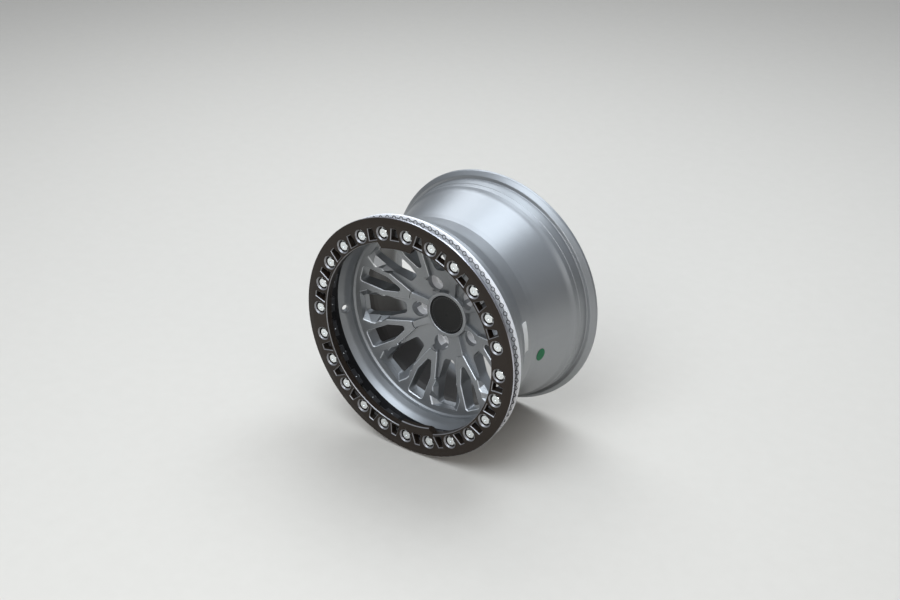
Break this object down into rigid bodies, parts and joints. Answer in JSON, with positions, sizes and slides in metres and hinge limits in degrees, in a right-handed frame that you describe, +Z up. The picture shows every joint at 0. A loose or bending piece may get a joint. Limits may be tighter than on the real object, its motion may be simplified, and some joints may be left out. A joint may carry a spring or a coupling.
{
  "type": "beadlock wheel",
  "caption": "One-piece cast wheel with loop spokes, scalloped bolt bosses and a bolted windowed clamp ring that holds the tyre's front bead.",
  "frame": {"origin": "on the axle, midway between the clamp ring's front face and the rear rim edge", "axes": "+Z up, axle along Y, front face towards -Y, turned about the axle as in the picture"},
  "size_m": [0.4718, 0.2759, 0.4718],
  "materials": {
    "casting": "satin gunmetal coating with bare machined edges",
    "ring": "satin black-brown coating",
    "bolts": "bright zinc",
    "washers": "bright zinc",
    "cap": "satin black",
    "label": "plain white",
    "dot": "plain green"
  },
  "bodies": {
    "root": {"wheel": "casting", "beadlock_ring": "ring", "ring_bolts": "bolts", "ring_washers": "washers", "centre_cap": "cap", "rim_label": "label", "inspection_dot": "dot"}
  },
  "joints": []
}
